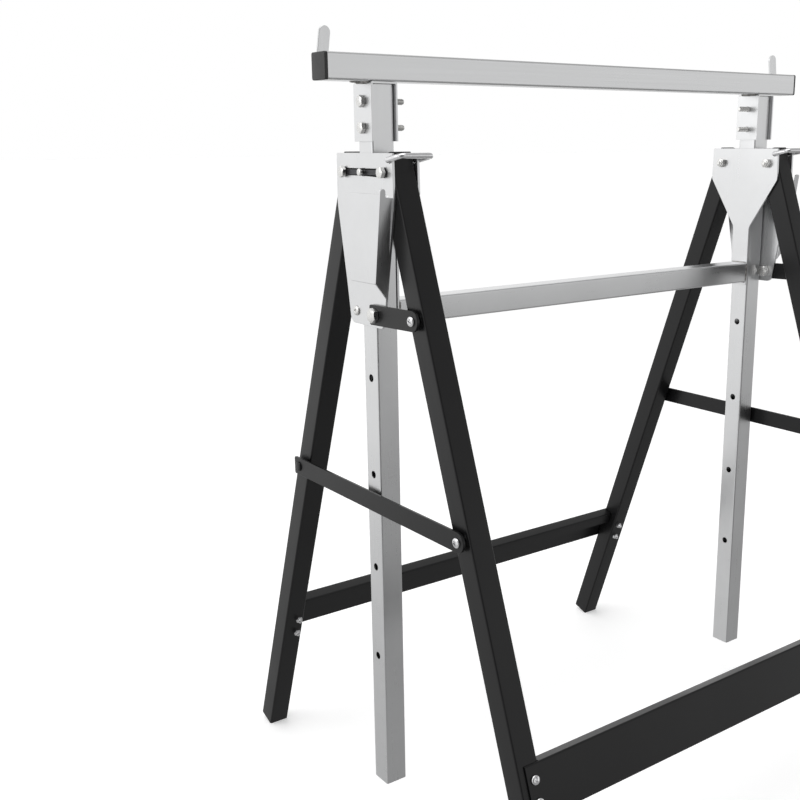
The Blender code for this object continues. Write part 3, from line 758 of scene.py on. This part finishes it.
class SAWHORSE_OT_locks(bpy.types.Operator):
    """Make the dark spring strips and the lock pins that they carry"""
    bl_idname = "sawhorse.locks"
    bl_label = "Locks"

    def execute(self, context):
        for end, side in SIDES:
            refined("lock_spring_" + end, "spring")
            node = "lock_pin_" + end
            low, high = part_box(node)
            back = low.x - high.x
            work = bmesh.new()
            turned(work, [(0, 0.0), (0.0022, 0.0), (0.0032, -0.0003), (0.0035, -0.0008), (0.0035, -0.0017),
                          (0.002, -0.0017), (0.002, back + 0.0025), (0.0035, back + 0.0025),
                          (0.0035, back + 0.0008), (0.0027, back), (0, back)],
                   facing(on_post(side, out_face(side, node), node), (side, 0, 0)))
            piece(node + "_turned", work, "zinc", BODY_OF[node], [node])
        return {"FINISHED"}


class SAWHORSE_OT_bails(bpy.types.Operator):
    """Bend a bright wire bail round the top of each front leg"""
    bl_idname = "sawhorse.bails"
    bl_label = "Wire bails"

    # Radii of the wire, of its bends beside the leg, and of its front corners.
    WIRE = 0.00275
    BEND = 0.0035
    CORNER = 0.006

    def execute(self, context):
        for end, _ in SIDES:
            node = "bail_" + end
            low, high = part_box(node)
            hinge = Vector(JOINTS[node + "_swing"]["pos_m"])
            middle = Matrix.Translation(((low.x + high.x) / 2, hinge.y, hinge.z))
            drop = Vector((0, low.y + self.WIRE - hinge.y, high.z - self.WIRE - hinge.z))
            tilt = Matrix.Rotation(-atan2(drop.z, -drop.y), 4, "X")
            work = self.loop((high.x - low.x) / 2 - self.WIRE, drop.length)
            bmesh.ops.transform(work, matrix=middle @ tilt, verts=work.verts)
            piece(node + "_wire", work, "chrome", BODY_OF[node], [node])
        return {"FINISHED"}

    def loop(self, arm, reach):
        """A wire bent to a U in the plane Z = 0, from its tips on the hinge to its front bar."""
        bend, corner, tip = self.BEND, self.CORNER, HALF + 0.0005
        work = bmesh.new()
        ring = closed_ring(work, self.WIRE, 20, facing((tip, 0, 0), (1, 0, 0)))
        ring = self.straight(work, ring, (arm - bend - tip, 0, 0))
        ring = self.turn(work, ring, (arm - bend, -bend, 0))
        ring = self.straight(work, ring, (0, corner + bend - reach, 0))
        ring = self.turn(work, ring, (arm - corner, corner - reach, 0))
        ring = self.straight(work, ring, (2 * (corner - arm), 0, 0))
        ring = self.turn(work, ring, (corner - arm, corner - reach, 0))
        ring = self.straight(work, ring, (0, reach - bend - corner, 0))
        ring = self.turn(work, ring, (bend - arm, -bend, 0))
        ring = self.straight(work, ring, (arm - bend - tip, 0, 0))
        bmesh.ops.holes_fill(work, edges=ring, sides=0)
        bmesh.ops.recalc_face_normals(work, faces=work.faces)
        return work

    def straight(self, work, ring, way):
        """Carry the wire straight on."""
        verts, ring = carried(work, ring)
        bmesh.ops.translate(work, vec=way, verts=verts)
        return ring

    def turn(self, work, ring, centre):
        """Bend the wire on by a right angle."""
        made = bmesh.ops.spin(work, geom=ring, cent=centre, axis=(0, 0, 1), angle=-pi / 2, steps=8,
                              use_merge=False, use_duplicate=False)
        return [item for item in made["geom_last"] if isinstance(item, bmesh.types.BMEdge)]


class SAWHORSE_OT_caps_and_plugs(bpy.types.Operator):
    """Fit the beam's end caps, the legs' top caps, and the plugs of the feet and posts"""
    bl_idname = "sawhorse.caps_and_plugs"
    bl_label = "Caps and plugs"

    BEAM_RIM = 0.003
    PLUG_WIDTH = 2 * (HALF - WALL) - 0.0002
    PLUG_SUNK = 0.00044
    PLUG_PLAY = 0.00005

    def execute(self, context):
        for end, side in SIDES:
            self.beam_cap("beam_cap_" + end, side)
            self.post_plug(end, side)
            for row, way in ROWS:
                self.leg_cap(row, end, side, way)
                self.foot_plug(row, end, side, way)
        return {"FINISHED"}

    def beam_cap(self, node, side):
        low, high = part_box(node)
        middle = centre_of(node)
        place = facing((high.x if side > 0 else low.x, middle.y, middle.z), (side, 0, 0))
        rim, width = self.BEAM_RIM, high.y - low.y
        inside, depth = width - 0.0036, high.x - low.x - rim
        work = bmesh.new()
        merge_in(work, box_shape((width, width, rim), (0, 0, -rim / 2), 0.002, 0.0008, 1), place)
        merge_in(work, box_shape((inside, inside, depth), (0, 0, -rim - depth / 2), 0.0008), place)
        piece(node + "_moulded", work, "plastic", BODY_OF[node], [node])

    def leg_cap(self, row, end, side, way):
        height = sizes().cap_height
        work = bmesh.new()
        part = box_shape((2 * HALF - 0.0001,) * 2 + (height,), (side * POST_X, 0, LEG_TOP + height / 2),
                         0.002, height * 0.6, 1)
        merge_in(work, part, leg_frame(way))
        piece("%s_leg_cap_%s" % (row, end), work, "plastic", row + "_legs")

    def dished_plug(self):
        """A square plug with a shallow dish in its outer face, facing down at Z = 0."""
        width, sunk = self.PLUG_WIDTH, self.PLUG_SUNK
        part = box_shape((width, width, sunk), (0, 0, sunk / 2), 0.0008, 0.0002, -1)
        under = [face for face in part.faces if face.normal.z < -0.9]
        bmesh.ops.inset_region(part, faces=under, thickness=0.0022, depth=0.0)
        under = [face for face in part.faces
                 if face.normal.z < -0.9 and face.calc_center_median().xy.length < 0.001]
        bmesh.ops.inset_region(part, faces=under, thickness=0.0004, depth=-sunk * 0.5)
        return part

    def foot_plug(self, row, end, side, way):
        work = bmesh.new()
        place = leg_frame(way) @ Matrix.Translation((side * POST_X, 0, self.PLUG_PLAY - leg_reach()))
        merge_in(work, self.dished_plug(), place)
        piece("%s_foot_plug_%s" % (row, end), work, "plastic", row + "_legs")

    def post_plug(self, end, side):
        work = bmesh.new()
        place = Matrix.Translation((side * POST_X, 0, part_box("post_" + end)[0].z + self.PLUG_PLAY))
        merge_in(work, self.dished_plug(), place)
        piece("post_plug_" + end, work, "plastic", "carriage")


class SAWHORSE_OT_plate_panels(bpy.types.Operator):
    """Press a shallow tapering panel into each outer plate"""
    bl_idname = "sawhorse.plate_panels"
    bl_label = "Plate panels"

    # The panel's corners in Y and Z, their rounding, and how deep its edge starts in the plate.
    CORNERS = ((0.0440, 0.7000), (-0.0445, 0.7000), (-0.0325, 0.6125), (0.0310, 0.6125))
    EASE = 0.0050
    ROOT = 0.0002

    def execute(self, context):
        height = sizes().emboss
        for end, side in SIDES:
            face = side * (POST_X + PLATE_OUT)
            work = bmesh.new()
            corners = [work.verts.new((face - side * self.ROOT, y, z)) for y, z in self.CORNERS]
            work.faces.new(corners)
            bmesh.ops.bevel(work, geom=corners, offset=self.EASE, offset_type="OFFSET", segments=5,
                            profile=0.5, affect="VERTICES", material=-1)
            grown = bmesh.ops.extrude_face_region(work, geom=work.faces[:])["geom"]
            raised = [item for item in grown if isinstance(item, bmesh.types.BMVert)]
            bmesh.ops.translate(work, vec=(side * (height + self.ROOT), 0, 0), verts=raised)
            top = [item for item in grown if isinstance(item, bmesh.types.BMFace)]
            rim = list(dict.fromkeys(edge for panel in top for edge in panel.edges))
            bmesh.ops.bevel(work, geom=rim, offset=height * 1.6, offset_type="WIDTH", segments=3,
                            profile=0.5, affect="EDGES", material=-1)
            bmesh.ops.recalc_face_normals(work, faces=work.faces)
            panel = piece("plate_panel_" + end, work, "galvanised_z", "bracket_frame")
            panel.modifiers.new("Normals", "WEIGHTED_NORMAL")
        return {"FINISHED"}


class SAWHORSE_OT_welds(bpy.types.Operator):
    """Lay the weld beads between the saddles and the beam, with a dark tongue of painted shade beside each saddle,
    and round the ends of the tie bar
    """
    bl_idname = "sawhorse.welds"
    bl_label = "Welds"

    SHORT_OF_CORNER = 0.002
    SUNK = 0.0002

    def execute(self, context):
        for end, side in SIDES:
            self.saddle_weld(end, side, sizes().bead)
            self.tie_bar_weld(end, side, sizes().bead * 0.7)
        return {"FINISHED"}

    def saddle_weld(self, end, side, radius):
        """A bead along each edge of the saddle's top, and a run-off off its outer one that is partly a real weld
        and partly painted shade.
        """
        low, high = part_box("saddle_" + end)
        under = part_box("beam")[0].z - self.SUNK
        reach = HALF - self.SHORT_OF_CORNER
        work = bmesh.new()
        for x in (low.x + 0.0004, high.x - 0.0004):
            bead(work, (x, -reach, under), (x, reach, under), radius)
        outer = high.x if side > 0 else low.x
        # Painted shade: this dark run-off bead stands in for the shade that falls under the beam beside the
        # saddle.
        bead(work, (outer + side * 0.012, 0.002, under + 0.0006), (outer, 0.002, under), radius * 1.1)
        piece("saddle_weld_" + end, work, "weld", "carriage")

    def tie_bar_weld(self, end, side, radius):
        """A bead along each of the four sides of the tie bar's end."""
        low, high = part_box("tie_bar")
        x = (high.x if side > 0 else low.x) - side * self.SUNK
        short = self.SHORT_OF_CORNER
        work = bmesh.new()
        for y in (low.y, high.y):
            bead(work, (x, y, low.z + short), (x, y, high.z - short), radius)
        for z in (low.z, high.z):
            bead(work, (x, low.y + short, z), (x, high.y - short, z), radius)
        piece("tie_bar_weld_" + end, work, "weld", "bracket_frame")


class SAWHORSE_OT_stage(bpy.types.Operator):
    """Set up the pale floor, the soft studio light and the camera"""
    bl_idname = "sawhorse.stage"
    bl_label = "Studio"

    def execute(self, context):
        context.scene.view_settings.view_transform = "Standard"
        self.floor()
        self.sky(context)
        self.softbox("key", (-2.4, 1.2, 1.6), (0, 0.1, 0.45), (1.8, 1.8), 9)
        self.softbox("top", (-0.4, -0.3, 2.8), (0, 0, 0.4), (1.8, 1.8), 14)
        self.camera(context)
        return {"FINISHED"}

    def floor(self):
        work = bmesh.new()
        bmesh.ops.create_grid(work, x_segments=1, y_segments=1, size=60)
        bmesh.ops.translate(work, vec=(0, 0, CAD_LOW.z - 0.0002), verts=work.verts)
        floor = as_object("floor", work)
        pale = Finish("pale_floor")
        cloud = pale.noise(1.2, 2)
        floor.data.materials.append(pale.shade(
            Base_Color=pale.tint(cloud, 0.3, 0.7, (0.90, 0.90, 0.90), (0.92, 0.92, 0.92)),
            Roughness=0.9, Emission_Color=(1, 1, 1, 1), Emission_Strength=0.34))
        floor.visible_glossy = False

    def sky(self, context):
        """White for the camera; in reflections bright behind, darker low in front, with a dark card."""
        world = bpy.data.worlds.new("studio")
        world.use_nodes = True
        context.scene.world = world
        nodes, links = world.node_tree.nodes, world.node_tree.links
        coords = nodes.new("ShaderNodeTexCoord").outputs["Generated"]

        def linked(kind, inputs, **settings):
            made = nodes.new(kind)
            for key, value in settings.items():
                setattr(made, key, value)
            for key, value in inputs.items():
                if isinstance(value, bpy.types.NodeSocket):
                    links.new(value, made.inputs[key])
                else:
                    made.inputs[key].default_value = value
            return made

        def along(direction):
            return linked("ShaderNodeVectorMath", {0: coords, 1: direction},
                          operation="DOT_PRODUCT").outputs["Value"]

        def ranged(value, low, high, out_low, out_high):
            return linked("ShaderNodeMapRange", {"Value": value, "From Min": low, "From Max": high,
                                                 "To Min": out_low, "To Max": out_high},
                          interpolation_type="SMOOTHSTEP").outputs["Result"]

        def mixed(factor, first, second):
            return linked("ShaderNodeMix", {"Factor": factor, "A": first, "B": second},
                          data_type="FLOAT").outputs["Result"]

        to_card, to_front = (-0.594, -0.790, 0.150), (0.594, -0.804, 0)
        height = along((0, 0, 1))
        behind = ranged(height, -0.50, -0.15, 0.55, 1.02)
        before = mixed(ranged(height, 0.08, 0.32, 0, 1), ranged(height, -0.26, 0.06, 0.36, 0.95), 0.48)
        card = ranged(along(to_card), 0.78, 0.95, 1.0, 0.22)
        open_sky = mixed(ranged(along(to_front), -0.35, 0.35, 0, 1), behind, before)
        strength = linked("ShaderNodeMath", {0: open_sky, 1: card}, operation="MULTIPLY").outputs[0]
        seen = nodes.new("ShaderNodeLightPath").outputs["Is Camera Ray"]
        links.new(mixed(seen, strength, 1.0), nodes["Background"].inputs["Strength"])
        nodes["Background"].inputs["Color"].default_value = (1, 1, 1, 1)

    def softbox(self, name, location, target, size, power):
        light = bpy.data.lights.new(name, "AREA")
        light.shape = "RECTANGLE"
        light.size, light.size_y = size
        light.energy = power
        lamp = bpy.data.objects.new(name, light)
        aim = Vector(target) - Vector(location)
        lamp.matrix_world = Matrix.Translation(location) @ aim.to_track_quat("-Z", "Y").to_matrix().to_4x4()
        bpy.context.scene.collection.objects.link(lamp)

    def camera(self, context):
        yaw, pitch, roll = radians(36.43), radians(13.50), radians(-0.34)
        ahead = Vector((sin(yaw) * cos(pitch), cos(yaw) * cos(pitch), -sin(pitch)))
        right = Vector((cos(yaw), -sin(yaw), 0))
        up = right.cross(ahead)
        turned_right = right * cos(roll) + up * sin(roll)
        turned_up = up * cos(roll) - right * sin(roll)
        lens = bpy.data.cameras.new("camera")
        lens.sensor_width = 36
        lens.lens = sizes().camera_lens
        lens.shift_x = -0.0710
        lens.shift_y = -0.0005
        camera = bpy.data.objects.new("camera", lens)
        turn = Matrix((turned_right, turned_up, -ahead)).transposed().to_4x4()
        camera.matrix_world = Matrix.Translation((-POST_X - 0.5699, -0.9006, 0.7466)) @ turn
        context.scene.collection.objects.link(camera)
        context.scene.camera = camera


# ---------------------------------------------------------------- panel and registering

STEPS = (SAWHORSE_OT_galvanised_steel, SAWHORSE_OT_painted_steel, SAWHORSE_OT_hexagon_bolts,
         SAWHORSE_OT_cross_screws, SAWHORSE_OT_rivets_and_studs, SAWHORSE_OT_locks, SAWHORSE_OT_bails,
         SAWHORSE_OT_caps_and_plugs, SAWHORSE_OT_plate_panels, SAWHORSE_OT_welds, SAWHORSE_OT_stage)


class SAWHORSE_PT_panel(bpy.types.Panel):
    """Lists the sizes, the finishes and the steps"""
    bl_label = "Folding sawhorse"
    bl_idname = "SAWHORSE_PT_panel"
    bl_space_type = "VIEW_3D"
    bl_region_type = "UI"
    bl_category = "Sawhorse"

    def draw(self, context):
        for group in (context.scene.sawhorse_sizes, context.scene.sawhorse_finishes):
            column = self.layout.column(align=True)
            for name in group.__annotations__:
                column.prop(group, name)
        column = self.layout.column(align=True)
        for step in STEPS:
            column.operator(step.bl_idname)


CLASSES = (SawhorseSizes, SawhorseFinishes) + STEPS + (SAWHORSE_PT_panel,)


def register():
    for made in CLASSES:
        bpy.utils.register_class(made)
    bpy.types.Scene.sawhorse_sizes = PointerProperty(type=SawhorseSizes)
    bpy.types.Scene.sawhorse_finishes = PointerProperty(type=SawhorseFinishes)


def unregister():
    del bpy.types.Scene.sawhorse_finishes
    del bpy.types.Scene.sawhorse_sizes
    for made in reversed(CLASSES):
        bpy.utils.unregister_class(made)


def main():
    register()
    for step in STEPS:
        getattr(bpy.ops.sawhorse, step.bl_idname.split(".")[1])()


if __name__ == "__main__":
    main()
